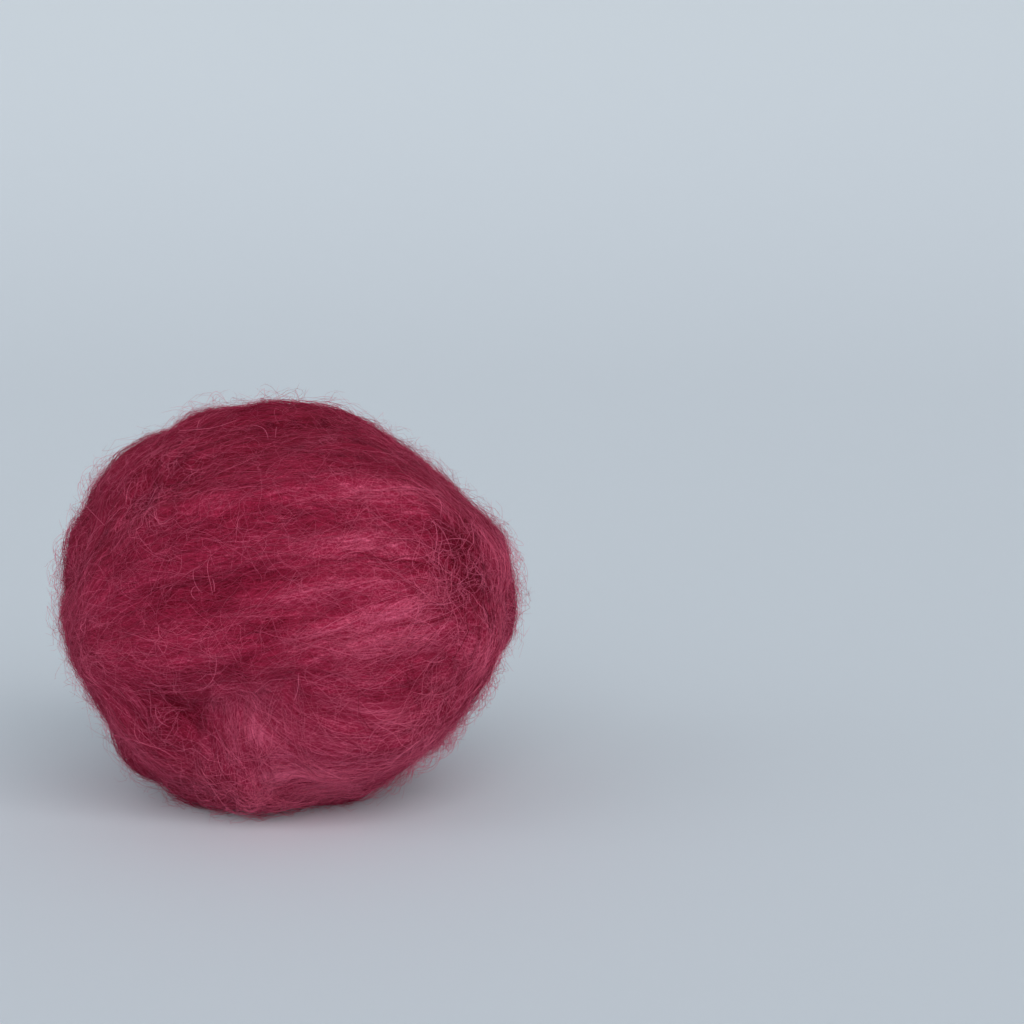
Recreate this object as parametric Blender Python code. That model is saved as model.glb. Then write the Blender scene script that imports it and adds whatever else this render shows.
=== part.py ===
"""A hand-wound ball of wool roving.

One length of carded wool sliver is wrapped round and round on itself.  The solid
holds the ball's outline, the laps that lie on top of each other with the creases
between them, the long ridges of each lap's slight twist, the shoulder and side
where the ball has been pressed flat, and the flat spot that it stands on.

+X runs to the ball's right, +Y to its back and +Z up, in metres.  The origin is
on the surface that the ball stands on, under the middle of its width and depth.
"""
from collections import namedtuple

import bmesh
import bpy
import numpy as np

# ---------------------------------------------------------------- driving sizes
CORE_HALF_WIDTH = 0.0405
CORE_HALF_DEPTH = 0.0378
CORE_HALF_HEIGHT = 0.0362
CORE_FULLNESS = 2.3             # 2 is an ellipsoid, more is squarer
CENTRE_HEIGHT = 0.0386          # from the flat spot to the middle of the core
CELLS_PER_SIDE = 31             # of each of the six patches that the skin is made of

CREASE_SOFTNESS = 0.00085       # rounds the crease where one lap meets another
LAP_FALL_POWER = 2.6            # how squarely a lap's edge turns down
END_FADE_ANGLE = 24.0           # degrees over which a lap's end dives under the next
EDGE_ON = 0.05                  # least share of a pressed plane that a ray may face
PRESS_SOFTNESS = 0.0018         # rounds the rim of a pressed place

SOFTENING_ROUNDS = 2            # times that every crease is eased into its neighbours
SOFTENING_SHARE = 0.5           # of the way to the neighbours' middle, each time

WOOL_COLOUR = (0.235, 0.020, 0.052, 1.0)
WOOL_ROUGHNESS = 0.92

# A lap is a flat ribbon of roving lying on a circle round the ball.  The circle's
# axis points turn degrees from +X towards +Y and lift degrees up, and the lap's
# middle line stands opening degrees away from it, so 90 is a great circle.  The
# lap runs from start through sweep degrees about the axis, and is first_half,
# mid_half and last_half in half width on the way.  Its crown stands level above
# the core, its edges lie edge_drop lower, and ridges long ridges of its twist run
# along it, which shift sideways by drift of their number on the way.
Lap = namedtuple("Lap", "name turn lift opening start sweep first_half mid_half last_half "
                        "level edge_drop ridges drift")
LAPS = (
    Lap("inner_round",    0,  90,  90,   0, 360, 0.040, 0.040, 0.040, 0.0004, 0.002, 7, 2.0),
    Lap("inner_upright", 20,   5,  90,   0, 360, 0.030, 0.030, 0.030, 0.0006, 0.003, 5, 2.0),
    Lap("foot",           0, -90,  18,   0, 360, 0.016, 0.016, 0.016, 0.0044, 0.005, 3, 0.0),
    Lap("low_round",    262,  80, 118,   0, 360, 0.012, 0.014, 0.012, 0.0028, 0.005, 3, 1.0),
    Lap("left_rim",     290,  15,  70, 120, 170, 0.012, 0.014, 0.010, 0.0034, 0.005, 3, 0.5),
    Lap("cap",           97,  48,  76, 170, 210, 0.010, 0.013, 0.011, 0.0022, 0.005, 3, 0.6),
    Lap("right_end",      8,   2,  42, 195, 170, 0.011, 0.014, 0.011, 0.0030, 0.004, 3, 0.5),
    Lap("bowl",         298,   8,  36,   0, 360, 0.014, 0.014, 0.014, 0.0032, 0.006, 3, 0.0),
    Lap("tuft",           0,   0, 101, 302,  70, 0.009, 0.013, 0.014, 0.0040, 0.005, 3, 0.6),
    Lap("belt_fifth",   173,  85,  96, 180, 137, 0.005, 0.007, 0.008, 0.0038, 0.007, 2, 0.3),
    Lap("belt_fourth",  224,  79,  82, 165, 150, 0.005, 0.006, 0.007, 0.0043, 0.007, 2, 0.3),
    Lap("belt_third",   129,  79,  89, 163, 150, 0.005, 0.006, 0.007, 0.0041, 0.007, 2, 0.2),
    Lap("belt_second",  106,  61,  96, 160, 153, 0.006, 0.008, 0.009, 0.0044, 0.007, 2, 0.3),
    Lap("belt_first",   102,  37, 106, 166, 155, 0.007, 0.009, 0.010, 0.0048, 0.007, 3, 0.4),
    Lap("back_high",    285,  70,  64,  15, 150, 0.010, 0.012, 0.010, 0.0034, 0.005, 3, 0.5),
    Lap("back_middle",  252,  79,  92,  10, 160, 0.009, 0.011, 0.010, 0.0038, 0.005, 3, 0.5),
    Lap("back_round",    70,  73,  93,   5, 165, 0.009, 0.012, 0.010, 0.0041, 0.005, 3, 0.4),
    Lap("back_low",     104,  70, 115,  10, 150, 0.010, 0.012, 0.010, 0.0034, 0.005, 3, 0.6),
    Lap("back_slant",    50,  38,  92,  15, 140, 0.008, 0.011, 0.009, 0.0050, 0.005, 3, 0.6),
)
RIDGE_HEIGHT = 0.0008           # of a lap's long ridges, above and below its skin

# A swell raises (or, below zero, sinks) the skin round one direction by rise, and
# fades out spread degrees away.
Swell = namedtuple("Swell", "name turn lift spread rise")
SWELLS = (
    Swell("right_nose",       5,   8, 22, -0.0006),
    Swell("right_chin",     354, -26, 18, -0.0046),
    Swell("right_heel",      20, -26, 16, -0.0030),
    Swell("right_sole",       0, -60, 14, -0.0034),
    Swell("front_sole",     280, -68, 14, -0.0020),
    Swell("tuft_hollow",    245, -32, 11, -0.0026),
    Swell("left_haunch",    186, -24, 20, -0.0038),
    Swell("left_hip",       186, -51, 14,  0.0052),
    Swell("left_brow",      180,  14, 16,  0.0026),
    Swell("left_crown",     180,  62, 10,  0.0018),
)

# A press is a flat place: the skin stays within reach of the ball's middle along
# one direction.
Press = namedtuple("Press", "name turn lift reach")
PRESSES = (
    Press("shoulder",     6,  50, 0.0358),
    Press("lower_right", 345, -45, 0.0386),
    Press("top",          90,  86, 0.0398),
)

# Slow unevenness of a thing wound by hand: waves across the ball.
UNEVEN_WAVES = 14
UNEVEN_SHORTEST = 0.014
UNEVEN_LONGEST = 0.034
UNEVEN_HEIGHT = 0.00022
UNEVEN_SEED = 5


def direction(turn, lift):
    """Unit vector turn degrees from +X towards +Y and lift degrees up."""
    turn, lift = np.radians(turn), np.radians(lift)
    return np.array((np.cos(lift) * np.cos(turn), np.cos(lift) * np.sin(turn), np.sin(lift)))


def lap_axes(lap):
    """The lap's axis and the two directions in its plane that angles count from."""
    axis = direction(lap.turn, lap.lift)
    first = np.cross((0.0, 1.0, 0.0), axis)
    first /= np.linalg.norm(first)
    return axis, first, np.cross(axis, first)


def core_radius(rays):
    """Distance from the middle to the full-cheeked oval core along each ray."""
    halves = (CORE_HALF_WIDTH, CORE_HALF_DEPTH, CORE_HALF_HEIGHT)
    powers = np.abs(rays / halves) ** CORE_FULLNESS
    return powers.sum(axis=1) ** (-1.0 / CORE_FULLNESS)


def lap_height(lap, rays, radius):
    """Height of one lap's skin above the core along each ray."""
    axis, first, second = lap_axes(lap)
    angle = np.degrees(np.arctan2(rays @ second, rays @ first))
    along = (angle - lap.start) % 360.0
    past_end = np.maximum(along - lap.sweep, 0.0)
    before_start = 360.0 - along
    outside = np.where(past_end > 0.0, np.minimum(past_end, before_start), 0.0)
    share = np.clip(along / lap.sweep, 0.0, 1.0)
    share = np.where((past_end > 0.0) & (before_start < past_end), 0.0, share)
    ends_half = lap.first_half + (lap.last_half - lap.first_half) * share
    belly = lap.mid_half - (lap.first_half + lap.last_half) / 2.0
    half = ends_half + belly * 4.0 * share * (1.0 - share)
    apart = np.arccos(np.clip(rays @ axis, -1.0, 1.0)) - np.radians(lap.opening)
    across = apart * radius / half
    fall = np.abs(across) ** LAP_FALL_POWER + (outside / END_FADE_ANGLE) ** 2
    wave = np.cos(np.pi * lap.ridges * across + 2.0 * np.pi * lap.drift * share)
    ridge = RIDGE_HEIGHT * wave * np.clip(1.0 - across ** 2, 0.0, 1.0)
    return lap.level - lap.edge_drop * fall + ridge


def swell_height(swell, rays):
    """Height that one swell adds along each ray."""
    apart = np.degrees(np.arccos(np.clip(rays @ direction(swell.turn, swell.lift), -1.0, 1.0)))
    return swell.rise * np.exp(-((apart / swell.spread) ** 2))


def unevenness(points):
    """Sum of slow waves, the same on each run."""
    chance = np.random.default_rng(UNEVEN_SEED)
    total = np.zeros(len(points))
    for _ in range(UNEVEN_WAVES):
        heading = chance.normal(size=3)
        heading /= np.linalg.norm(heading)
        length = chance.uniform(UNEVEN_SHORTEST, UNEVEN_LONGEST)
        phase = chance.uniform(0.0, 2.0 * np.pi)
        total += np.sin(points @ heading * (2.0 * np.pi / length) + phase)
    return UNEVEN_HEIGHT * total


def pressed(radius, rays, press):
    """Radius held softly inside the plane of one pressed place."""
    facing = np.maximum(rays @ direction(press.turn, press.lift), EDGE_ON)
    limit = press.reach / facing
    return -PRESS_SOFTNESS * np.logaddexp(-radius / PRESS_SOFTNESS, -limit / PRESS_SOFTNESS)


def ball_points(rays):
    """Point of the ball's skin along each ray from its middle."""
    core = core_radius(rays)
    heights = np.array([lap_height(lap, rays, core) for lap in LAPS])
    wound = CREASE_SOFTNESS * np.logaddexp.reduce(heights / CREASE_SOFTNESS, axis=0)
    radius = core + wound + unevenness(rays * core[:, None])
    for swell in SWELLS:
        radius = radius + swell_height(swell, rays)
    for press in PRESSES:
        radius = pressed(radius, rays, press)
    points = rays * radius[:, None]
    points[:, 2] = np.maximum(points[:, 2] + CENTRE_HEIGHT, 0.0)
    return points


def gridded_cube(cells):
    """A closed cube with cells by cells squares on each side."""
    grid = bmesh.new()
    bmesh.ops.create_cube(grid, size=2.0)
    bmesh.ops.subdivide_edges(grid, edges=grid.edges[:], cuts=cells - 1, use_grid_fill=True)
    return grid


def wound_roving():
    """The ball as one closed solid: a gridded cube blown out to the ball's skin."""
    skin = gridded_cube(CELLS_PER_SIDE)
    corners = np.array([vertex.co[:] for vertex in skin.verts])
    rays = np.tan(corners * (np.pi / 4.0))
    rays /= np.linalg.norm(rays, axis=1)[:, None]
    for vertex, point in zip(skin.verts, ball_points(rays)):
        vertex.co = point
    for _ in range(SOFTENING_ROUNDS):
        bmesh.ops.smooth_vert(skin, verts=skin.verts[:], factor=SOFTENING_SHARE,
                              use_axis_x=True, use_axis_y=True, use_axis_z=True)
    points = np.array([vertex.co[:] for vertex in skin.verts])
    middle = (points.min(axis=0) + points.max(axis=0)) / 2.0
    bmesh.ops.translate(skin, verts=skin.verts[:], vec=(-middle[0], -middle[1], 0.0))
    bmesh.ops.recalc_face_normals(skin, faces=skin.faces[:])
    mesh = bpy.data.meshes.new("wound_roving")
    skin.to_mesh(mesh)
    skin.free()
    mesh.shade_smooth()
    return mesh


def wool():
    """Dyed carded wool: crimson, matt."""
    material = bpy.data.materials.new("wool")
    material.use_nodes = True
    shader = material.node_tree.nodes["Principled BSDF"]
    shader.inputs["Base Color"].default_value = WOOL_COLOUR
    shader.inputs["Roughness"].default_value = WOOL_ROUGHNESS
    shader.inputs["Metallic"].default_value = 0.0
    return material


def main():
    for item in list(bpy.data.objects):
        bpy.data.objects.remove(item)
    ball = bpy.data.objects.new("wound_roving", wound_roving())
    ball.data.materials.append(wool())
    bpy.context.scene.collection.objects.link(ball)


main()
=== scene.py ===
"""A hand-wound ball of crimson wool roving, standing on a pale floor.

Metres, +X to the ball's right, +Y to its back, +Z up, origin on the floor under the ball.
"""
import math
from collections import namedtuple

import bmesh
import bpy
import numpy as np
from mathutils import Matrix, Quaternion, Vector
from mathutils.bvhtree import BVHTree


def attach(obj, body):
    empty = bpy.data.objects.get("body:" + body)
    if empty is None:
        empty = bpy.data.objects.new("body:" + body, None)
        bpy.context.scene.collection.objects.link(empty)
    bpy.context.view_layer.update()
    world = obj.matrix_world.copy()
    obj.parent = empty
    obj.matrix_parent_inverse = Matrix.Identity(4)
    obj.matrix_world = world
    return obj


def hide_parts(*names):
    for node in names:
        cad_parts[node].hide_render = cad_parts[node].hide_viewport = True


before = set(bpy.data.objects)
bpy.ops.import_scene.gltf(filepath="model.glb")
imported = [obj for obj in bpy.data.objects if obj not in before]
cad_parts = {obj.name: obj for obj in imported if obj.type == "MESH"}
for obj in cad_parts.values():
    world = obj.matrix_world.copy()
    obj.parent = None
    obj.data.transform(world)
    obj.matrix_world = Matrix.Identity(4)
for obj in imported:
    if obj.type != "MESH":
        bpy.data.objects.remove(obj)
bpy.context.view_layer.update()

# ------------------------------------------------------------------ the wound skin
# The ball is one length of carded wool sliver, wrapped round and round on itself by
# hand.  Each lap is a soft flat ribbon that lies over the laps before it and is held
# by the ones that cross it.  This is its outer face, down to the grain of the fibres.

SKIN_CELLS = 104            # along each side of the cube that is blown up into the skin
CORE_HALVES = (0.0405, 0.0378, 0.0362)
CORE_FULLNESS = 2.3         # 2 is an ellipsoid, more is boxier
CENTRE_HEIGHT = 0.0386
CREASE_SOFTNESS = 0.0010    # height over which two laps run together where they meet
LAP_FALL_POWER = 2.6        # a higher power makes a lap flatter, with steeper edges
END_FADE_ANGLE = 24.0       # degrees past its ends in which a lap sinks away
EDGE_ON = 0.05              # the flattest slant at which a pressed place still cuts
PRESS_SOFTNESS = 0.0018     # how softly it cuts
RIDGE_HEIGHT = 0.0004

# A lap runs round an axis that points along turn and lift, at the opening angle from it, from its
# start through its sweep, all in degrees.  Its half widths, its height over the core (level) and
# how far its edges drop are in metres; ridges are the strands across it, drift how far they cross.
Lap = namedtuple("Lap", "name turn lift opening start sweep first_half mid_half last_half "
                        "level edge_drop ridges drift")
LAPS = [Lap(*row) for row in (
    ("inner_round",     0,  90,  90,   0, 360, 0.040, 0.040, 0.040, 0.0004, 0.002, 7, 2.0),
    ("inner_upright",  20,   5,  90,   0, 360, 0.030, 0.030, 0.030, 0.0006, 0.003, 5, 2.0),
    ("foot",            0, -90,  18,   0, 360, 0.016, 0.016, 0.016, 0.0044, 0.005, 3, 0.0),
    ("low_round",     262,  80, 118,   0, 360, 0.012, 0.014, 0.012, 0.0028, 0.005, 3, 1.0),
    ("left_rim",      290,  15,  70, 120, 170, 0.012, 0.014, 0.010, 0.0034, 0.005, 3, 0.5),
    ("cap",            97,  48,  76, 170, 210, 0.010, 0.013, 0.011, 0.0022, 0.005, 3, 0.6),
    ("right_end",       8,   2,  42, 195, 170, 0.011, 0.014, 0.011, 0.0030, 0.004, 3, 0.5),
    ("bowl",          298,   8,  36,   0, 360, 0.014, 0.014, 0.014, 0.0032, 0.005, 3, 0.0),
    ("tuft",            0,   0, 101, 302,  70, 0.009, 0.013, 0.014, 0.0040, 0.005, 3, 0.6),
    ("belt_fifth",    173,  85,  96, 180, 137, 0.006, 0.009, 0.010, 0.0038, 0.005, 2, 0.3),
    ("belt_fourth",   224,  79,  82, 165, 150, 0.006, 0.008, 0.009, 0.0043, 0.005, 2, 0.3),
    ("belt_third",    129,  79,  89, 163, 150, 0.006, 0.008, 0.009, 0.0041, 0.005, 2, 0.2),
    ("belt_second",   106,  61,  96, 160, 153, 0.007, 0.010, 0.011, 0.0044, 0.005, 2, 0.3),
    ("belt_first",    102,  37, 106, 166, 155, 0.008, 0.011, 0.012, 0.0048, 0.005, 3, 0.4),
    ("back_high",     285,  70,  64,  15, 150, 0.010, 0.012, 0.010, 0.0034, 0.005, 3, 0.5),
    ("back_middle",   252,  79,  92,  10, 160, 0.009, 0.011, 0.010, 0.0038, 0.005, 3, 0.5),
    ("back_round",     70,  73,  93,   5, 165, 0.009, 0.012, 0.010, 0.0041, 0.005, 3, 0.4),
    ("back_low",      104,  70, 115,  10, 150, 0.010, 0.012, 0.010, 0.0034, 0.005, 3, 0.6),
    ("back_slant",     50,  38,  92,  15, 140, 0.008, 0.011, 0.009, 0.0050, 0.005, 3, 0.6),
)]

# Single strands that stand out of a lap or have sunk into it, with their lighter or darker tone:
# partly the wool's own streaks and partly painted light, a painted highlight along the raised
# strands and painted shade along the sunk ones, the grooves and dips, and over the cap (cap_shade).
Strand = namedtuple("Strand", "name turn lift opening start sweep half rise tone")
STRANDS = [Strand(*row) for row in (
    ("upper_edge",      169,  67,  53, 235,  76, 0.0023,  0.0003,  0.06),
    ("first_band",      101,  35, 108, 244,  76, 0.0031,  0.0005,  0.10),
    ("first_crest",     101,  45,  96, 295,  20, 0.0021,  0.0002,  0.14),
    ("second_band",     104,  54, 102, 222,  61, 0.0023,  0.0005,  0.10),
    ("second_crest",    105,  48, 108, 279,  35, 0.0025,  0.0004,  0.08),
    ("third_band",      106,  26, 140, 261,  49, 0.0021,  0.0005,  0.11),
    ("fourth_band",     160,  76,  94, 257,  54, 0.0013,  0.0004,  0.14),
    ("fifth_band",      135,  71, 106, 267,  47, 0.0031,  0.0005,  0.10),
    ("low_left_band",   127,  78,  96, 226,  34, 0.0023,  0.0004,  0.08),
    ("bowl_strand",     304,  11,  31, 301,  34, 0.0011,  0.0002,  0.13),
    ("bowl_rise",       301,  -3,  17, 360,  81, 0.0019,  0.0002,  0.03),
    ("bowl_middle",     293,   8,  31, 313,  48, 0.0017,  0.0003,  0.05),
    ("bowl_low",        290,   3,  32, 331,  64, 0.0017,  0.0002,  0.00),
    ("under_bowl",       94,  57, 164, 227, 126, 0.0027,  0.0003,  0.13),
    ("tuft_middle",     359, -20,  88, 282,  20, 0.0023,  0.0005,  0.11),
    ("tuft_left",       308, -31,  52, 298,  31, 0.0017,  0.0005,  0.08),
    ("tuft_low",         61,  30, 156, 310,  55, 0.0031,  0.0005,  0.13),
    ("tuft_right",      341,  -2,  67, 283,  25, 0.0017,  0.0002,  0.03),
    ("right_end_fold",  139,  -8, 160,  67,  55, 0.0031,  0.0000,  0.16),
    ("right_end_low",    12, -17,  46, 247,  25, 0.0019,  0.0003,  0.08),
    ("rim_first",       299,  45,  50, 178,  36, 0.0010,  0.0004,  0.06),
    ("rim_second",      239,  37,  13, 106,  65, 0.0008,  0.0003,  0.05),
    ("rim_third",       290,  38,  33, 178,  31, 0.0015,  0.0002,  0.03),
    ("first_dip",        90,  20, 128, 258,  31, 0.0011, -0.0001, -0.05),
    ("first_groove",     79,  79,  72, 275,  38, 0.0013, -0.0002, -0.08),
    ("warm_dip",        263,  60,  35, 252,  31, 0.0017, -0.0001, -0.04),
    ("second_hollow",   106,  67,  96, 242,  30, 0.0020, -0.0002, -0.09),
    ("second_groove",   112,  30, 132, 291,  39, 0.0017, -0.0002, -0.07),
    ("left_groove",      83,  61, 110, 233,  23, 0.0013, -0.0001, -0.04),
    ("third_groove",    117,  61, 112, 260,  31, 0.0015, -0.0002, -0.06),
    ("fourth_groove",   104,  35, 143, 251,  45, 0.0009, -0.0002, -0.07),
    ("bowl_line",       233,  87,  95, 278,  21, 0.0011, -0.0001, -0.06),
    ("bowl_hollow",     125,  25, 160, 300,  64, 0.0022, -0.0002, -0.09),
    ("bowl_groove",     295,  11,  25, 315,  52, 0.0011, -0.0002, -0.07),
    ("tuft_pit",         49,  29, 164, 250,  34, 0.0026, -0.0002, -0.11),
    ("right_dip",       334,  32,  18, 265,  28, 0.0017, -0.0001, -0.06),
    ("tuft_line",        90,  43, 141, 239,  24, 0.0011, -0.0001, -0.05),
    ("rim_groove",      310,  40,  63, 187,  24, 0.0011, -0.0002, -0.06),
    ("rim_dip",          17,  -4, 130, 216,  15, 0.0009, -0.0001, -0.05),
    ("low_right_rim",   137,  45, 159, 271,  59, 0.0020, -0.0001, -0.05),
    ("tuft_groove",      29,  27, 135, 296,  19, 0.0011, -0.0001, -0.05),
    ("left_rim_groove",  36,  25, 167, 231,  83, 0.0017, -0.0001, -0.04),
    ("cap_shade",       273,  83,  15, 221, 110, 0.0038,  0.0000, -0.06),
    ("left_dip",        108,  74,  98, 220,  18, 0.0017, -0.0001, -0.04),
    ("back_crest",      285,  70,  59,  30,  80, 0.0022,  0.0000,  0.14),
    ("back_first",      252,  79,  87,  35,  70, 0.0026,  0.0000,  0.14),
    ("back_second",      70,  73,  98,  40,  80, 0.0020,  0.0000,  0.12),
    ("back_third",      104,  70, 119,  30,  80, 0.0026,  0.0000,  0.14),
    ("back_fourth",      50,  38,  87,  30,  80, 0.0024,  0.0000,  0.14),
    ("back_fifth",      104,  70, 109,  70,  60, 0.0016,  0.0000,  0.10),
    ("back_groove",     252,  79,  97,  30,  90, 0.0012,  0.0000, -0.08),
    ("back_line",        70,  73,  89,  60,  60, 0.0010,  0.0000, -0.07),
    ("back_dip",         50,  38,  97,  30,  80, 0.0014,  0.0000, -0.08),
)]
STRAND_END = 0.004          # over which a strand fades out past its ends

Swell = namedtuple("Swell", "name turn lift spread rise")
SWELLS = [Swell(*row) for row in (
    ("right_nose",    5,   8, 22, -0.0006),
    ("right_chin",  354, -26, 18, -0.0046),
    ("right_heel",   20, -26, 16, -0.0030),
    ("right_sole",    0, -60, 14, -0.0034),
    ("front_sole",  280, -68, 14, -0.0020),
    ("tuft_hollow", 245, -32, 11, -0.0026),
    ("left_haunch", 186, -24, 20, -0.0038),
    ("left_hip",    186, -51, 14,  0.0052),
    ("left_brow",   180,  14, 16,  0.0026),
    ("left_crown",  180,  62, 10,  0.0018),
)]

Press = namedtuple("Press", "name turn lift reach")
PRESSES = [Press(*row) for row in (
    ("shoulder",      6,  50, 0.0358),
    ("lower_right", 345, -45, 0.0386),
    ("top",          90,  86, 0.0398),
)]

# Places where the wool is made lighter or, below zero, darker.  Some are painted light: painted
# shadow over the cap and on the right end, and painted light, as bounced up from the floor, on the
# bowl, the tuft, the low front and the underside.  The other rows make the wool lighter or darker
# in spots.
DyeAndLightPatch = namedtuple("DyeAndLightPatch", "name turn lift spread tone")
DYE_AND_LIGHT_PATCHES = [DyeAndLightPatch(*row) for row in (
    # cap: painted shadow over the top of the ball.
    ("cap",         250,  64, 30, -0.10),
    # bowl and tuft: painted light, as bounced up from the floor.
    ("bowl",        303, -26, 24,  0.13),
    ("tuft",        264, -46, 24,  0.12),
    ("tuft_crest",  260, -19,  9,  0.17),
    ("left_side",   220, -12, 24,  0.07),
    ("right_end",   339,  11, 13,  0.16),
    # right_shade: painted shadow on the right end.
    ("right_shade", 319,  19, 10, -0.12),
    ("low_right",   318, -36, 15,  0.12),
    ("right_belt",  300,  12, 16,  0.13),
    ("left_belt",   253,  15, 18, -0.06),
    ("left_hollow", 240, -20, 10, -0.07),
    # low_front: painted light, as bounced up from the floor.
    ("low_front",   280, -45, 14,  0.14),
    ("left_tuft",   252, -33,  7,  0.06),
    ("high_belt",   292,  27,  7,  0.13),
    ("low_belt",    291,  -6,  7,  0.17),
    ("right_low",   303,  -2,  7,  0.16),
    ("right_nose",  321,  -7,  8,  0.20),
    ("low_dip",     302, -10,  4, -0.08),
    ("mesh_edge",   310,  15,  5,  0.15),
    ("belt_middle", 278,  13,  7,  0.10),
    ("belt_shade",  266,  -2,  7, -0.16),
    ("left_pit",    240, -21,  4, -0.10),
    # under_front: painted light on the underside, which faces down into shade.
    ("under_front", 292, -60, 10,  0.32),
    ("back_high",   100,  30, 20,  0.12),
    ("back_right",   40, -10, 20,  0.13),
    ("back_left",   150, -10, 20,  0.12),
    ("back_low",     95, -35, 16,  0.10),
)]

# Where the fibres lie in a tangle instead of side by side.
Tangle = namedtuple("Tangle", "name turn lift spread amount")
TANGLES = [Tangle(*row) for row in (
    ("right_end",   342,  -4, 18, 0.70),
    ("right_mesh",  318,  13, 13, 0.90),
    ("right_rim",   358,   8, 16, 0.70),
    ("lower_right", 350, -40, 18, 0.60),
    ("tuft",        254, -45, 20, 0.37),
    ("low_right",   312, -26, 15, 0.60),
    ("hollow",      235, -30, 12, 0.45),
    ("upper_left",  228,  36, 20, 0.45),
    ("top",         100,  80, 22, 0.40),
    ("back",        110,   5, 26, 0.45),
    ("left_back",   190,  10, 20, 0.35),
)]
TANGLE_EVERYWHERE = 0.16

UNEVEN_WAVES = 14
UNEVEN_SHORTEST = 0.014
UNEVEN_LONGEST = 0.034
UNEVEN_HEIGHT = 0.00022
UNEVEN_SEED = 5

FIBRE_COVER = 0.0008        # how deep the skin lies under the outer fibres
FLOW_BLEND = 0.0009         # height over which one lap's fibre direction gives way to the next
MILLIMETRE = 0.001          # the unit of the grain's two surface directions
GRAIN_SHIFT = 17.0          # sets each lap's pattern apart from its neighbour's


def direction(turn, lift):
    turn, lift = np.radians(turn), np.radians(lift)
    return np.array((np.cos(lift) * np.cos(turn), np.cos(lift) * np.sin(turn), np.sin(lift)))


def lap_axes(lap):
    axis = direction(lap.turn, lap.lift)
    first = np.cross((0.0, 1.0, 0.0), axis)
    first /= np.linalg.norm(first)
    return axis, first, np.cross(axis, first)


def core_radius(rays):
    powers = np.abs(rays / CORE_HALVES) ** CORE_FULLNESS
    return powers.sum(axis=1) ** (-1.0 / CORE_FULLNESS)


def angle_round(ribbon, rays):
    """Degrees round a ribbon's axis from its start, below 360."""
    _, first, second = lap_axes(ribbon)
    return (np.degrees(np.arctan2(rays @ second, rays @ first)) - ribbon.start) % 360.0


def opened(ribbon, rays):
    """Radians between the rays and a ribbon's axis."""
    return np.arccos(np.clip(rays @ lap_axes(ribbon)[0], -1.0, 1.0))


def degrees_outside(ribbon, along):
    past_end = np.maximum(along - ribbon.sweep, 0.0)
    return np.where(past_end > 0.0, np.minimum(past_end, 360.0 - along), 0.0)


def unit(ways):
    return ways / np.maximum(np.linalg.norm(ways, axis=1), 1e-6)[:, None]


def lap_shape(lap, rays, radius, along):
    """The share of a lap's sweep at each ray, how far across it that is, and how it widens."""
    past_end = np.maximum(along - lap.sweep, 0.0)
    share = np.clip(along / lap.sweep, 0.0, 1.0)
    share = np.where((past_end > 0.0) & (360.0 - along < past_end), 0.0, share)
    belly = lap.mid_half - (lap.first_half + lap.last_half) / 2.0
    ends_half = lap.first_half + (lap.last_half - lap.first_half) * share
    half = ends_half + belly * 4.0 * share * (1.0 - share)
    across = (opened(lap, rays) - np.radians(lap.opening)) * radius / half
    widening = lap.last_half - lap.first_half + belly * 4.0 * (1.0 - 2.0 * share)
    return share, across, widening


def lap_surface(lap, rays, radius):
    """A lap's height above the core, its ridges, its fibres' way, and how near its edge it is."""
    along = angle_round(lap, rays)
    share, across, widening = lap_shape(lap, rays, radius, along)
    fall = np.abs(across) ** LAP_FALL_POWER
    fall = fall + (degrees_outside(lap, along) / END_FADE_ANGLE) ** 2
    wave = np.cos(np.pi * lap.ridges * across + 2.0 * np.pi * lap.drift * share)
    ridge = RIDGE_HEIGHT * wave * np.clip(1.0 - across ** 2, 0.0, 1.0)
    height = lap.level - lap.edge_drop * fall
    axis = lap_axes(lap)[0]
    slope = np.clip(across, -1.0, 1.0) * widening / (radius * math.radians(lap.sweep))
    away = unit(rays * (rays @ axis)[:, None] - axis)
    flow = unit(unit(np.cross(axis, rays)) + away * slope[:, None])
    return height, ridge, flow, fall


def lap_grain(lap, rays, radius, middle_rays):
    """Millimetres along and across a lap, unbroken round each face of the given middle rays."""
    base = angle_round(lap, middle_rays)
    step = (angle_round(lap, rays) - base + 180.0) % 360.0 - 180.0
    along = np.radians(base + step) * radius * np.sin(opened(lap, rays))
    across = lap_shape(lap, rays, radius, base + step)[1]
    return np.stack((along, across * lap.mid_half), axis=1) / MILLIMETRE


def strand_weight(strand, rays, radius):
    """How much of a strand lies at each ray: 1 on its middle line, 0 away from it."""
    apart = (opened(strand, rays) - math.radians(strand.opening)) * radius / strand.half
    past = np.radians(degrees_outside(strand, angle_round(strand, rays))) * radius
    past = past * math.sin(math.radians(strand.opening)) / STRAND_END
    return np.exp(-(apart ** 2) - past ** 2)


def spot(place, rays):
    """1 at a named place, fading out over its spread."""
    facing = np.clip(rays @ direction(place.turn, place.lift), -1.0, 1.0)
    return np.exp(-((np.degrees(np.arccos(facing)) / place.spread) ** 2))


def tangle_amount(rays):
    total = np.full(len(rays), TANGLE_EVERYWHERE)
    for place in TANGLES:
        total = np.maximum(total, place.amount * spot(place, rays))
    return total


def unevenness(points):
    chance = np.random.default_rng(UNEVEN_SEED)
    total = np.zeros(len(points))
    for _ in range(UNEVEN_WAVES):
        heading = chance.normal(size=3)
        heading /= np.linalg.norm(heading)
        length = chance.uniform(UNEVEN_SHORTEST, UNEVEN_LONGEST)
        phase = chance.uniform(0.0, 2.0 * np.pi)
        total += np.sin(points @ heading * (2.0 * np.pi / length) + phase)
    return UNEVEN_HEIGHT * total


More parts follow.
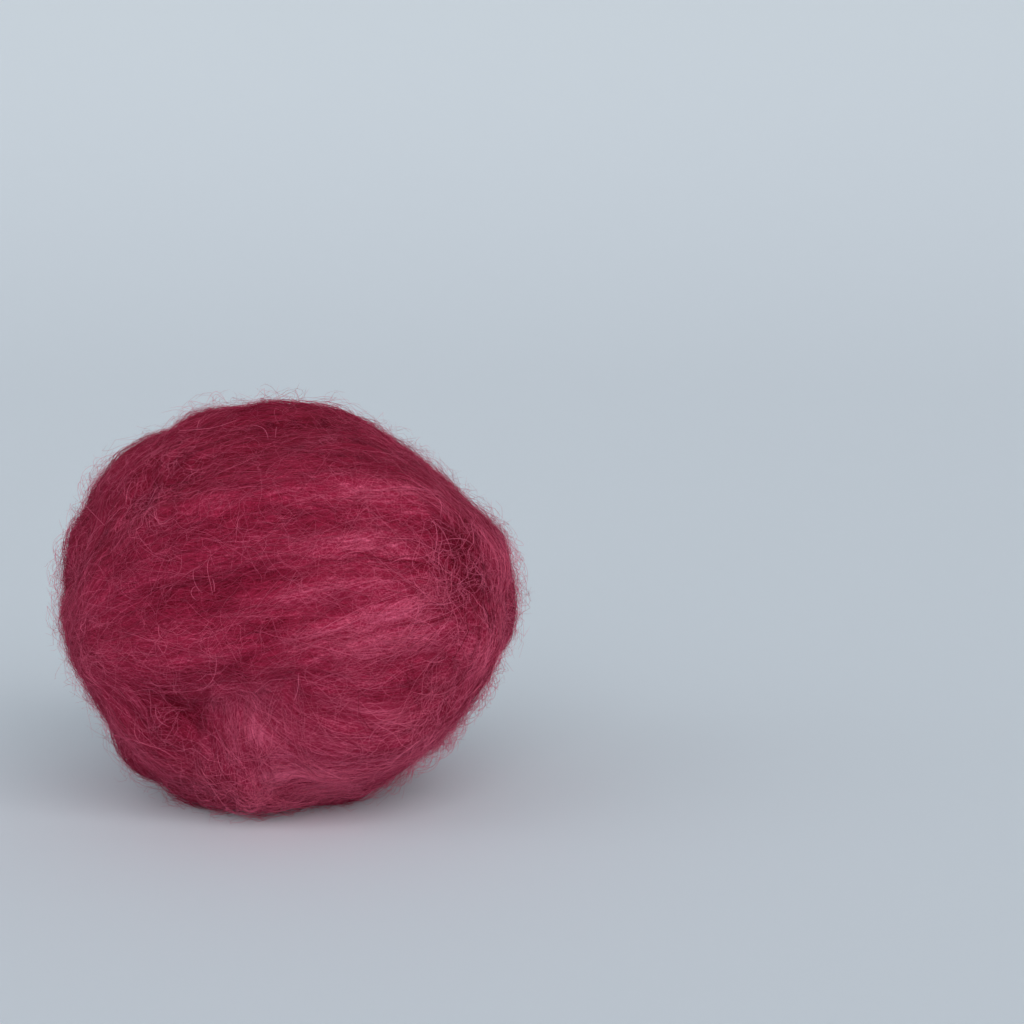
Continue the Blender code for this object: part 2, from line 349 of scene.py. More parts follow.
def pressed(radius, rays, press):
    facing = np.maximum(rays @ direction(press.turn, press.lift), EDGE_ON)
    limit = press.reach / facing
    return -PRESS_SOFTNESS * np.logaddexp(-radius / PRESS_SOFTNESS, -limit / PRESS_SOFTNESS)


def skin_grid():
    """A cube's cells blown up to a ball: the mesh, and the unit ray through each of its points."""
    grid = bmesh.new()
    bmesh.ops.create_cube(grid, size=2.0)
    bmesh.ops.subdivide_edges(grid, edges=grid.edges[:], cuts=SKIN_CELLS - 1, use_grid_fill=True)
    mesh = bpy.data.meshes.new("wound_skin")
    grid.to_mesh(mesh)
    grid.free()
    corners = np.zeros(len(mesh.vertices) * 3)
    mesh.vertices.foreach_get("co", corners)
    rays = np.tan(corners.reshape(-1, 3) * (np.pi / 4.0))
    return mesh, rays / np.linalg.norm(rays, axis=1)[:, None]


def wound_laps(rays, core):
    """The laps' height over the core, the way of the fibres on top, and how near an edge is."""
    surfaces = [lap_surface(lap, rays, core) for lap in LAPS]
    heights, ridges, flows, falls = (np.array(part) for part in zip(*surfaces))
    top = heights.argmax(axis=0)
    every = np.arange(len(rays))
    share = np.exp((heights - heights.max(axis=0)) / FLOW_BLEND)
    share *= np.sign((flows * flows[top, every]).sum(axis=2))
    flow = (flows * share[:, :, None]).sum(axis=0)
    edge = np.clip(falls[top, every], 0.0, 1.0)
    wound = CREASE_SOFTNESS * np.logaddexp.reduce((heights + ridges) / CREASE_SOFTNESS, axis=0)
    return wound, flow, edge


def corner_grain(mesh, rays, core):
    """Millimetres along and across the top lap at each face corner, and a shift for that lap."""
    corner_vertices = np.zeros(len(mesh.loops), dtype=np.int32)
    mesh.loops.foreach_get("vertex_index", corner_vertices)
    face_rays = unit(rays[corner_vertices.reshape(-1, 4)].mean(axis=1))
    face_core = core_radius(face_rays)
    face_heights = [lap_surface(lap, face_rays, face_core)[0] for lap in LAPS]
    corner_lap = np.repeat(np.array(face_heights).argmax(axis=0), 4)
    corner_middles = np.repeat(face_rays, 4, axis=0)
    grain = np.zeros((len(corner_vertices), 3))
    for index, lap in enumerate(LAPS):
        chosen = corner_lap == index
        vertices = corner_vertices[chosen]
        grain[chosen, :2] = lap_grain(lap, rays[vertices], core[vertices], corner_middles[chosen])
        grain[chosen, 2] = index * GRAIN_SHIFT
    return grain


def wind_skin():
    """The ball's outer face as a mesh, with the fibres' way, grain and tangle on its points."""
    mesh, rays = skin_grid()
    core = core_radius(rays)
    wound, flow, edge = wound_laps(rays, core)
    radius = core + wound - FIBRE_COVER + unevenness(rays * core[:, None])
    # The skin's tone: painted light and painted shade from the patches and strands, with the wool's
    # own streaks among them.
    tone = sum(patch.tone * spot(patch, rays) for patch in DYE_AND_LIGHT_PATCHES)
    for strand in STRANDS:
        weight = strand_weight(strand, rays, core)
        radius = radius + strand.rise * weight
        # A painted highlight along a raised strand, painted shade along a sunk one.
        tone = tone + strand.tone * weight
        way = unit(np.cross(lap_axes(strand)[0], rays))
        way = way * np.sign((way * flow).sum(axis=1))[:, None]
        flow = unit(unit(flow) * (1.0 - weight)[:, None] + way * weight[:, None])
    for swell in SWELLS:
        radius = radius + swell.rise * spot(swell, rays)
    for press in PRESSES:
        radius = pressed(radius, rays, press)
    points = rays * radius[:, None]
    points[:, 2] = np.maximum(points[:, 2] + CENTRE_HEIGHT, 0.0)
    middle = (points.min(axis=0) + points.max(axis=0)) / 2.0
    points[:, :2] -= middle[:2]
    mesh.vertices.foreach_set("co", points.ravel())
    grain = corner_grain(mesh, rays, core)
    for name, kind, domain, values in (
            ("flow", "FLOAT_VECTOR", "POINT", flow), ("grain", "FLOAT_VECTOR", "CORNER", grain),
            ("edge", "FLOAT", "POINT", edge), ("tone", "FLOAT", "POINT", tone),
            ("tangle", "FLOAT", "POINT", tangle_amount(rays))):
        field = "vector" if kind == "FLOAT_VECTOR" else "value"
        mesh.attributes.new(name, kind, domain).data.foreach_set(field, values.ravel())
    mesh.update()
    mesh.shade_smooth()
    return mesh


def put(tree, kind, where=None, **settings):
    """One node in a tree, with its settings, and its inputs from the where dictionary."""
    node = tree.nodes.new(kind)
    for name, value in settings.items():
        setattr(node, name, value)
    for name, value in (where or {}).items():
        socket = node.inputs[name]
        if isinstance(value, bpy.types.NodeSocket):
            tree.links.new(value, socket)
        else:
            socket.default_value = value
    return node


def maths(tree, operation, first, second=0.0, third=0.0):
    node = put(tree, "ShaderNodeMath", {0: first, 1: second, 2: third}, operation=operation)
    return node.outputs[0]


def times(tree, first, second, added=None):
    """First times second, with a third value added where one is given."""
    if added is None:
        return maths(tree, "MULTIPLY", first, second)
    return maths(tree, "MULTIPLY_ADD", first, second, added)


def vectors(tree, operation, first, second=(0.0, 0.0, 0.0)):
    where = {0: first, 1: second}
    return put(tree, "ShaderNodeVectorMath", where, operation=operation).outputs[0]


def scaled(tree, vector, by):
    where = {0: vector, "Scale": by}
    return put(tree, "ShaderNodeVectorMath", where, operation="SCALE").outputs[0]


def ripple(tree, place, detail):
    """Smooth noise from -0.5 to 0.5, with cells one unit of the place across."""
    node = put(tree, "ShaderNodeTexNoise", {"Vector": place, "Scale": 1.0, "Detail": detail})
    return maths(tree, "SUBTRACT", node.outputs["Fac"], 0.5)


def vector_ripple(tree, place, scale=1.0):
    """The same as a vector."""
    node = put(tree, "ShaderNodeTexNoise", {"Vector": place, "Scale": scale, "Detail": 1.0})
    return vectors(tree, "SUBTRACT", node.outputs["Color"], (0.5, 0.5, 0.5))


def named(tree, name, kind="FLOAT"):
    node = put(tree, "GeometryNodeInputNamedAttribute", {"Name": name}, data_type=kind)
    return node.outputs["Attribute"]


def placed(tree, geometry, place):
    return put(tree, "GeometryNodeSetPosition",
               {"Geometry": geometry, "Position": place}).outputs[0]


def new_tree(name, tree_kind, inputs, outputs):
    """A tree with its sockets, by kind; returns it, its input node and its output node."""
    tree = bpy.data.node_groups.new(name, tree_kind)
    for side, sockets in (("INPUT", inputs), ("OUTPUT", outputs)):
        for kind, names in sockets.items():
            for socket_name in names:
                tree.interface.new_socket(socket_name, in_out=side, socket_type="NodeSocket" + kind)
    return tree, tree.nodes.new("NodeGroupInput"), tree.nodes.new("NodeGroupOutput")


def end_tree(tree, made, geometry, material):
    real = put(tree, "GeometryNodeRealizeInstances", {"Geometry": geometry}).outputs[0]
    dressed = put(tree, "GeometryNodeSetMaterial", {"Geometry": real, "Material": material})
    tree.links.new(dressed.outputs[0], made.inputs[0])


def grown(source, name, tree, values):
    """The plain mesh object that a tree makes from a source mesh, with its inputs set."""
    carrier = bpy.data.objects.new(name + "_carrier", source)
    bpy.context.scene.collection.objects.link(carrier)
    modifier = carrier.modifiers.new(name, "NODES")
    modifier.node_group = tree
    for item in tree.interface.items_tree:
        if item.name in values:
            modifier[item.identifier] = values[item.name]
    carrier.update_tag()
    graph = bpy.context.evaluated_depsgraph_get()
    mesh = bpy.data.meshes.new_from_object(carrier.evaluated_get(graph), depsgraph=graph)
    mesh.name = name
    carrier.modifiers.clear()
    bpy.data.objects.remove(carrier)
    piece = bpy.data.objects.new(name, mesh)
    bpy.context.scene.collection.objects.link(piece)
    return piece


# Noise cells to the millimetre, along a lap and across it.
RAISED_LOCKS = (0.060, 0.38, 1.0)
RAISED_STRANDS = (0.10, 0.70, 1.0)
DYED_LOCKS = (0.05, 0.35, 1.0)


def grain_tree():
    """Raises the skin into locks and strands that run along the laps."""
    tree, given, made = new_tree("wool_grain", "GeometryNodeTree", {
        "Geometry": ("Geometry",), "Material": ("Material",),
        "Float": ("Lock Height", "Strand Height", "Tuft Height", "Tuft Size")},
        {"Geometry": ("Geometry",)})
    get = given.outputs
    grain = named(tree, "grain", "FLOAT_VECTOR")
    place = put(tree, "GeometryNodeInputPosition").outputs[0]
    locks = ripple(tree, vectors(tree, "MULTIPLY", grain, RAISED_LOCKS), 1.0)
    strands = ripple(tree, vectors(tree, "MULTIPLY", grain, RAISED_STRANDS), 0.0)
    tuft_scale = maths(tree, "DIVIDE", 1.0, get["Tuft Size"])
    tufts = ripple(tree, scaled(tree, place, tuft_scale), 3.0)
    total = times(tree, locks, get["Lock Height"])
    total = times(tree, strands, get["Strand Height"], total)
    tangled = times(tree, named(tree, "tangle"), get["Tuft Height"])
    total = times(tree, tufts, tangled, total)
    outward = put(tree, "GeometryNodeInputNormal").outputs[0]
    raised = vectors(tree, "ADD", place, scaled(tree, outward, total))
    above_floor = vectors(tree, "MAXIMUM", raised, (-1.0, -1.0, 0.0))
    end_tree(tree, made, placed(tree, get["Geometry"], above_floor), get["Material"])
    return tree


LINE_WAVES = (0.22, 0.22, 1.0)      # waves to the millimetre in the lines, along and across
WAVE_HEIGHT = (0.0, 1.6, 0.0)       # millimetres that the waves carry a line sideways
LINE_STARTS = 0.40                  # the noise value where a line starts
LINE_FULL = 0.68                    # and where it is at its full strength


def hair_lines_group():
    """Fine wavy fibres side by side, at an angle to the grain: 1 on a fibre, 0 between."""
    group, given, made = new_tree("hair_lines", "ShaderNodeTree", {
        "Vector": ("Grain",), "Float": ("Angle", "Width", "Length", "Seed")},
        {"Float": ("Lines",)})
    get = given.outputs
    turned = put(group, "ShaderNodeVectorRotate", {"Vector": get["Grain"], "Angle": get["Angle"]},
                 rotation_type="Z_AXIS").outputs[0]
    wave = vector_ripple(group, vectors(group, "MULTIPLY", turned, LINE_WAVES))
    bent = vectors(group, "ADD", turned, vectors(group, "MULTIPLY", wave, WAVE_HEIGHT))
    stretch = put(group, "ShaderNodeCombineXYZ", {
        "X": maths(group, "DIVIDE", 1.0, get["Length"]),
        "Y": maths(group, "DIVIDE", 1.0, get["Width"]), "Z": 1.0}).outputs[0]
    shift = put(group, "ShaderNodeCombineXYZ", {"Z": get["Seed"]}).outputs[0]
    place = vectors(group, "ADD", vectors(group, "MULTIPLY", bent, stretch), shift)
    noise = put(group, "ShaderNodeTexNoise", {"Vector": place, "Scale": 1.0, "Detail": 2.0})
    lines = put(group, "ShaderNodeMapRange", {
        "Value": noise.outputs["Fac"], "From Min": LINE_STARTS, "From Max": LINE_FULL},
        interpolation_type="SMOOTHSTEP").outputs[0]
    group.links.new(lines, made.inputs["Lines"])
    return group


# Angles off the grain in radians, widths and lengths in millimetres.
Combing = namedtuple("Combing", "name angle width length share")
COMBINGS = [Combing(*row) for row in (
    ("straight_fine",   0.00, 0.26,  8.0, 0.30),
    ("straight_broad",  0.03, 0.75, 15.0, 0.18),
    ("leaning_left",    0.26, 0.22,  5.0, 0.26),
    ("leaning_right",  -0.34, 0.22,  5.0, 0.26),
    ("crossing",        0.90, 0.20,  3.0, 0.20),
    ("crossing_back",  -1.15, 0.20,  3.0, 0.20),
)]
COMBING_SEED = 3.7          # sets each combing's lines apart from the last one's
# A dye value and the wool's colour there.
DYE_DEEP = (0.05, (0.150, 0.002, 0.013, 1.0))
DYE_MIDDLE = (0.50, (0.385, 0.021, 0.066, 1.0))
DYE_LIGHT = (0.95, (0.840, 0.157, 0.280, 1.0))


def dye_group():
    """Crimson from deep to light, by a value from 0 to 1."""
    group, given, made = new_tree("roving_dye", "ShaderNodeTree", {"Float": ("Value",)},
                                  {"Color": ("Color",)})
    ramp = put(group, "ShaderNodeValToRGB", {"Fac": given.outputs["Value"]})
    stops = ramp.color_ramp.elements
    stops[0].position, stops[0].color = DYE_DEEP
    stops[1].position, stops[1].color = DYE_LIGHT
    stops.new(DYE_MIDDLE[0]).color = DYE_MIDDLE[1]
    group.links.new(ramp.outputs["Color"], made.inputs["Color"])
    return group


WOOL_FINISH = {"Roughness": 0.85, "Specular IOR Level": 0.05, "Sheen Weight": 0.04,
               "Sheen Roughness": 0.5, "Sheen Tint": (1.0, 0.62, 0.70, 1.0)}
roving_dye = dye_group()


def new_material(name, finish):
    """A new material with a finish on its shader; returns it, its tree and its shader."""
    material = bpy.data.materials.new(name)
    material.use_nodes = True
    shader = material.node_tree.nodes["Principled BSDF"]
    for socket, value in finish.items():
        shader.inputs[socket].default_value = value
    return material, material.node_tree, shader


def dye_wool(tree, shader, value):
    dye = put(tree, "ShaderNodeGroup", {"Value": value}, node_tree=roving_dye)
    tree.links.new(dye.outputs["Color"], shader.inputs["Base Color"])


def attribute(tree, name, output="Fac"):
    return put(tree, "ShaderNodeAttribute", attribute_name=name).outputs[output]


# The wool between the fibres is set far deeper than the fibres themselves: partly painted shade,
# for wool that lies in the depth under them.
SKIN_BASE = 0.09            # dye value of the wool between the fibres
SKIN_LOCKS = 0.33           # how far its locks, lines, creases and tangles change that value
SKIN_LINES = 0.62
# Painted shade: the wool is darkened near a lap's edges, in the creases where laps meet, and in
# tangles, where it lies deep under loose fibres.
SKIN_CREASE_SHADE = -0.10
SKIN_TANGLE_SHADE = -0.30
SKIN_BUMP = 0.00025
BUMP_STRENGTH = 0.7


def skin_material():
    material, tree, shader = new_material("wound_wool", WOOL_FINISH)
    grain = attribute(tree, "grain", "Vector")
    hair_lines = hair_lines_group()
    lines = 0.0
    for number, combing in enumerate(COMBINGS):
        layer = put(tree, "ShaderNodeGroup", {
            "Grain": grain, "Angle": combing.angle, "Width": combing.width,
            "Length": combing.length, "Seed": COMBING_SEED * number}, node_tree=hair_lines)
        lines = times(tree, layer.outputs["Lines"], combing.share, lines)
    locks = ripple(tree, vectors(tree, "MULTIPLY", grain, DYED_LOCKS), 2.0)
    value = times(tree, locks, SKIN_LOCKS, SKIN_BASE)
    value = times(tree, lines, SKIN_LINES, value)
    value = maths(tree, "ADD", value, attribute(tree, "tone"))
    # Painted shade in the creases at the laps' edges and deep in the tangles.
    value = times(tree, attribute(tree, "edge"), SKIN_CREASE_SHADE, value)
    value = times(tree, attribute(tree, "tangle"), SKIN_TANGLE_SHADE, value)
    dye_wool(tree, shader, value)
    bump = put(tree, "ShaderNodeBump", {
        "Height": lines, "Strength": BUMP_STRENGTH, "Distance": SKIN_BUMP})
    tree.links.new(bump.outputs["Normal"], shader.inputs["Normal"])
    return material


skin_mesh = wind_skin()
skin = grown(skin_mesh, "roving_skin", grain_tree(), {
    "Lock Height": 0.0006, "Strand Height": 0.0004, "Tuft Height": 0.0026,
    "Tuft Size": 0.006, "Material": skin_material()})
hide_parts("wound_roving")
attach(skin, "root")

# ------------------------------------------------------------------ the outer fibres
# Wool fibres on the face of each lap, combed the way the sliver runs but crossing a
# little, with crimp.  They are held by friction alone, more of them astray where the
# ball has been handled, and their free ends stand up as a soft fuzz.

MEAN_TANGLE = 0.3
TUBE_SIDES = 3
TIP_THINNING = 0.65         # how much of its thickness a fibre loses at its tips
TIP_SHARPNESS = 4.0         # a higher power keeps the loss nearer to the tips
CELL_FILL = 0.8             # a fibre's share of its cell on the dye map, and the gap before it
CELL_MARGIN = 0.1
FLOOR_GAP = 1.5             # lowest place of a fibre's middle line, in radii over the floor


def store(tree, geometry, name, value, kind="FLOAT", domain="POINT"):
    """Keeps a value on a geometry's points or corners under a name."""
    node = put(tree, "GeometryNodeStoreNamedAttribute",
               {"Geometry": geometry, "Name": name, "Value": value}, data_type=kind, domain=domain)
    return node.outputs[0]


def whole(tree, operation, first, second):
    """Maths on whole numbers."""
    node = put(tree, "FunctionNodeIntegerMath", {0: first, 1: second}, operation=operation)
    return node.outputs[0]


def add_tubes(tree, given, made, curves, radius):
    """Ends a tree: its curves become closed three-sided tubes with a place each on the dye map."""
    get = given.outputs

    def in_cell(share, cell, cells):
        """Where a share of a fibre lies on the dye map, within its own one of the cells."""
        place = maths(tree, "ADD", cell, CELL_MARGIN)
        return maths(tree, "DIVIDE", times(tree, share, CELL_FILL, place), cells)

    along = put(tree, "GeometryNodeSplineParameter").outputs["Factor"]
    from_middle = maths(tree, "ABSOLUTE", times(tree, along, 2.0, -1.0))
    taper = times(tree, maths(tree, "POWER", from_middle, TIP_SHARPNESS), -TIP_THINNING, 1.0)
    profile = put(tree, "GeometryNodeCurvePrimitiveCircle",
                  {"Resolution": TUBE_SIDES, "Radius": 1.0}).outputs[0]
    tubes = put(tree, "GeometryNodeCurveToMesh", {
        "Curve": store(tree, curves, "along", along),
        "Profile Curve": store(tree, profile, "round", along),
        "Scale": times(tree, taper, radius), "Fill Caps": True}).outputs[0]
    number = named(tree, "fibre", "INT")
    column = whole(tree, "MODULO", number, get["Columns"])
    row = whole(tree, "MODULO", whole(tree, "DIVIDE", number, get["Columns"]), get["Rows"])
    corner = put(tree, "ShaderNodeCombineXYZ", {
        "X": in_cell(named(tree, "along"), column, get["Columns"]),
        "Y": in_cell(named(tree, "round"), row, get["Rows"])}).outputs[0]
    tubes = store(tree, tubes, "OFBake", corner, "FLOAT2", "CORNER")
    smooth = put(tree, "GeometryNodeSetShadeSmooth", {"Geometry": tubes}).outputs[0]
    end_tree(tree, made, smooth, get["Material"])


def chance(tree, get, low, high, number):
    """A random number for each fibre; number sets it apart from the tree's others."""
    node = put(tree, "FunctionNodeRandomValue", {
        2: low, 3: high, "ID": named(tree, "fibre", "INT"),
        "Seed": whole(tree, "ADD", get["Seed"], number)}, data_type="FLOAT")
    return node.outputs[1]


def on_skin(tree, get, value, kind="FLOAT_VECTOR"):
    """A value of the skin at the place nearest to each point of a fibre."""
    here = put(tree, "GeometryNodeInputPosition").outputs[0]
    node = put(tree, "GeometryNodeSampleNearestSurface",
               {"Mesh": get["Geometry"], "Value": value, "Sample Position": here}, data_type=kind)
    return node.outputs["Value"]


def skin_below(tree, get):
    """The place on the skin nearest to each point of a fibre, and the way out from there."""
    place = on_skin(tree, get, put(tree, "GeometryNodeInputPosition").outputs[0])
    return place, on_skin(tree, get, put(tree, "GeometryNodeInputNormal").outputs[0])


LEAN_LEAST = 0.35           # how far a fibre leans off the flow, as a share of its Astray, on
LEAN_TANGLED = 2.0          # smooth wool, and how much more for all of a tangle


def sow_roots(tree, get):
    """Scatters the roots, each with its number, its stride and its lean off the flow."""
    tangle = named(tree, "tangle")
    more = maths(tree, "SUBTRACT", tangle, MEAN_TANGLE)
    more = times(tree, more, get["Tangle Share"], 1.0)
    density = times(tree, more, get["Per Square Metre"])
    roots = put(tree, "GeometryNodeDistributePointsOnFaces",
                {"Mesh": get["Geometry"], "Density": density, "Seed": get["Seed"]})
    index = put(tree, "GeometryNodeInputIndex").outputs[0]
    points = store(tree, roots.outputs["Points"], "fibre", index, "INT")
    reach = times(tree, chance(tree, get, -1.0, 1.0, 1), get["Length Spread"], 1.0)
    stride = maths(tree, "DIVIDE", times(tree, reach, get["Length"]), get["Steps"])
    either_way = maths(tree, "SIGN", chance(tree, get, -1.0, 1.0, 9))
    points = store(tree, points, "stride", times(tree, stride, either_way))
    aside = maths(tree, "ADD", chance(tree, get, -0.5, 0.5, 2), chance(tree, get, -0.5, 0.5, 3))
    messy = maths(tree, "ADD", LEAN_LEAST, times(tree, tangle, LEAN_TANGLED))
    lean = times(tree, times(tree, aside, messy), get["Astray"])
    points = store(tree, points, "lean", lean)
    return store(tree, points, "turn", lean)


BENDS_PER_METRE = 230.0         # noise cells that bend a fibre's way
BEND_APART = (3.1, 7.7, 5.3)    # sets each fibre's bends apart from its neighbour's


def walk_on(tree, get, points):
    """Takes the roots along the flow, stride after stride; returns the trail they leave."""
    first = put(tree, "GeometryNodeRepeatInput")
    last = put(tree, "GeometryNodeRepeatOutput")
    first.pair_with_output(last)
    last.repeat_items.new("GEOMETRY", "Trail")
    tree.links.new(get["Steps"], first.inputs["Iterations"])
    tree.links.new(points, first.inputs["Geometry"])
    touched, outward = skin_below(tree, get)
    here = put(tree, "GeometryNodeInputPosition").outputs[0]
    field = vectors(tree, "ADD", scaled(tree, here, BENDS_PER_METRE),
                    scaled(tree, BEND_APART, named(tree, "fibre", "INT")))
    bend = times(tree, ripple(tree, field, 1.0), get["Wander"])
    lean = named(tree, "lean")
    held = maths(tree, "SUBTRACT", named(tree, "turn"), lean)
    turn = maths(tree, "ADD", times(tree, held, get["Hold"], lean), bend)
    flow = on_skin(tree, get, named(tree, "flow", "FLOAT_VECTOR"))
    heading = put(tree, "ShaderNodeVectorRotate", {"Vector": flow, "Axis": outward, "Angle": turn},
                  rotation_type="AXIS_ANGLE").outputs[0]
    step = scaled(tree, vectors(tree, "NORMALIZE", heading), named(tree, "stride"))
    laid = placed(tree, first.outputs["Geometry"], touched)
    laid = store(tree, laid, "turn", turn)
    laid = store(tree, laid, "step", first.outputs["Iteration"], "INT")
    trail = put(tree, "GeometryNodeJoinGeometry")
    tree.links.new(first.outputs["Trail"], trail.inputs[0])
    tree.links.new(laid, trail.inputs[0])
    stepped = placed(tree, laid, vectors(tree, "ADD", touched, step))
    tree.links.new(stepped, last.inputs["Geometry"])
    tree.links.new(trail.outputs[0], last.inputs["Trail"])
    return last.outputs["Trail"]


CRIMP_APART = (5.7, 2.9, 8.3)   # sets each fibre's own crimp apart from its neighbour's
SHARED_CRIMP = 0.7              # noise scale of the crimp that neighbours share


def lift_off(tree, get, trail):
    """Makes curves of the trail, lifted off the skin, arched and crimped."""
    fibre = named(tree, "fibre", "INT")
    curves = put(tree, "GeometryNodePointsToCurves", {
        "Points": trail, "Curve Group ID": fibre,
        "Weight": named(tree, "step", "INT")}).outputs[0]
    curves = put(tree, "GeometryNodeCurveSplineType", {"Curve": curves},
                 spline_type="CATMULL_ROM").outputs[0]
    curves = put(tree, "GeometryNodeResampleCurve",
                 {"Curve": curves, "Count": get["Points"]}).outputs[0]
    along = put(tree, "GeometryNodeSplineParameter").outputs["Factor"]
    height = times(tree, chance(tree, get, 0.0, 1.0, 4), get["Height Spread"], get["Base Height"])
    tip = times(tree, maths(tree, "POWER", chance(tree, get, 0.0, 1.0, 5), 2.0), get["Tip Lift"])
    height = times(tree, maths(tree, "POWER", along, 2.0), tip, height)
    arch = times(tree, maths(tree, "POWER", chance(tree, get, 0.0, 1.0, 6), 3.0), get["Arch"])
    middling = maths(tree, "SINE", times(tree, along, math.pi))
    height = times(tree, middling, arch, height)
    here = put(tree, "GeometryNodeInputPosition").outputs[0]
    shared = scaled(tree, here, maths(tree, "DIVIDE", 1.0, get["Crimp Size"]))
    alone = vectors(tree, "ADD", shared, scaled(tree, CRIMP_APART, fibre))
    crimp = vectors(tree, "ADD", vector_ripple(tree, alone),
                    vector_ripple(tree, shared, SHARED_CRIMP))
    touched, outward = skin_below(tree, get)
    place = vectors(tree, "ADD", touched, scaled(tree, outward, height))
    place = vectors(tree, "ADD", place, scaled(tree, crimp, get["Crimp"]))
    above_floor = put(tree, "ShaderNodeCombineXYZ", {
        "X": -1.0, "Y": -1.0, "Z": times(tree, get["Radius"], FLOOR_GAP)}).outputs[0]
    return placed(tree, curves, vectors(tree, "MAXIMUM", place, above_floor))


SPREAD_LEAST = 0.5          # how far fibres differ in shade, as a share of their Shade Spread,
SPREAD_TANGLED = 2.2        # on smooth wool, and how much more for all of a tangle
STOUT_LEAST = 0.8           # the same two for their thickness, and how far it varies
STOUT_TANGLED = 1.0
THINNEST = 0.7
THICKEST = 1.25


def fibre_tree():
    """Grows fibres along the skin's flow from scattered roots, each a closed three-sided tube."""
    tree, given, made = new_tree("wool_fibres", "GeometryNodeTree", {
        "Geometry": ("Geometry",), "Material": ("Material",),
        "Int": ("Seed", "Steps", "Points", "Columns", "Rows"),
        "Float": ("Per Square Metre", "Tangle Share", "Length", "Length Spread", "Astray",
                  "Wander", "Hold", "Base Height", "Height Spread", "Tip Lift", "Arch", "Crimp",
                  "Crimp Size", "Radius", "Shade", "Shade Spread", "Lock Shade", "Tone Share",
                  "Tangle Shade")}, {"Geometry": ("Geometry",)})
    get = given.outputs
    curves = lift_off(tree, get, walk_on(tree, get, sow_roots(tree, get)))
    tangle = named(tree, "tangle")
    grain = vectors(tree, "MULTIPLY", named(tree, "grain", "FLOAT_VECTOR"), DYED_LOCKS)
    varied = times(tree, tangle, SPREAD_TANGLED, SPREAD_LEAST)
    varied = times(tree, varied, get["Shade Spread"])
    shade = times(tree, chance(tree, get, -0.5, 0.5, 7), varied, get["Shade"])
    shade = times(tree, ripple(tree, grain, 2.0), get["Lock Shade"], shade)
    # In tangles the combed fibres are made darker, painted shade where they lie deep under the
    # loose ones, and the loose fibres lighter.
    shade = times(tree, tangle, get["Tangle Shade"], shade)
    # Each fibre takes a share of the skin's tone, with its painted light and painted shade.
    tone = on_skin(tree, get, named(tree, "tone"), "FLOAT")
    shade = times(tree, tone, get["Tone Share"], shade)
    curves = store(tree, curves, "shade", shade)
    stout = times(tree, tangle, STOUT_TANGLED, STOUT_LEAST)
    stout = times(tree, stout, chance(tree, get, THINNEST, THICKEST, 8))
    add_tubes(tree, given, made, curves, times(tree, stout, get["Radius"]))
    return tree


def fibre_material():
    material, tree, shader = new_material("fibre_wool", WOOL_FINISH)
    dye_wool(tree, shader, attribute(tree, "shade"))
    return material


fibres = fibre_tree()
fibre_wool = fibre_material()
# Lengths, heights and sizes in metres, Astray and Wander in radians, shades as dye values.
COMBED = {"Per Square Metre": 155000.0, "Tangle Share": 0.0, "Steps": 8, "Length": 0.021,
          "Length Spread": 0.35, "Astray": 1.4, "Wander": 0.9, "Hold": 0.8,
          "Base Height": -0.0001, "Height Spread": 0.0005, "Tip Lift": 0.0006, "Arch": 0.0004,
          "Crimp": 0.0012, "Crimp Size": 0.006, "Radius": 0.000037, "Points": 7,
          "Columns": 62, "Rows": 62, "Shade": 0.57, "Shade Spread": 0.50, "Lock Shade": 0.27,
          "Tone Share": 1.0, "Tangle Shade": -0.35}
LOOSE = dict(COMBED, **{"Per Square Metre": 170000.0, "Tangle Share": 0.2, "Length": 0.013,
                        "Astray": 5.0, "Wander": 2.6, "Hold": 0.95, "Base Height": 0.0001,
                        "Height Spread": 0.0006, "Tip Lift": 0.0014, "Arch": 0.0008,
                        "Crimp": 0.0016, "Crimp Size": 0.0045, "Radius": 0.000029, "Points": 8,
                        "Shade": 0.58, "Tone Share": 0.7, "Tangle Shade": 0.15})
CURLY = dict(LOOSE, **{"Tangle Share": 1.2, "Length": 0.010, "Astray": 9.0, "Wander": 4.2,
                       "Hold": 1.0, "Base Height": 0.0002, "Height Spread": 0.0007,
                       "Radius": 0.000025, "Columns": 60, "Rows": 60, "Shade": 0.62,
                       "Tone Share": 0.4, "Tangle Shade": 0.40})
HALO = dict(LOOSE, **{"Per Square Metre": 310000.0, "Tangle Share": 2.0, "Length": 0.0075,
                      "Steps": 6, "Astray": 9.0, "Wander": 3.5, "Height Spread": 0.0011,
                      "Tip Lift": 0.0036, "Arch": 0.0024, "Crimp": 0.0022, "Radius": 0.000018,
                      "Points": 5, "Columns": 80, "Rows": 80, "Shade": 0.62, "Tone Share": 0.3,
                      "Tangle Shade": 0.30})
FIBRE_PIECES = (("combed_fibres_1", COMBED, 11), ("combed_fibres_2", COMBED, 31),
                ("loose_fibres", LOOSE, 51), ("curly_fibres", CURLY, 71),
                ("halo_fibres", HALO, 91))
for name, values, seed in FIBRE_PIECES:
    piece = grown(skin.data, name, fibres, dict(values, Seed=seed, Material=fibre_wool))
    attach(piece, "root")

# ------------------------------------------------------------------ the stray fibres
# Single long fibres that have worked out of the laps and lie loose over them, and wisps
# of finer ones, mostly at the ball's edge.  Their ends are still caught in the wool.

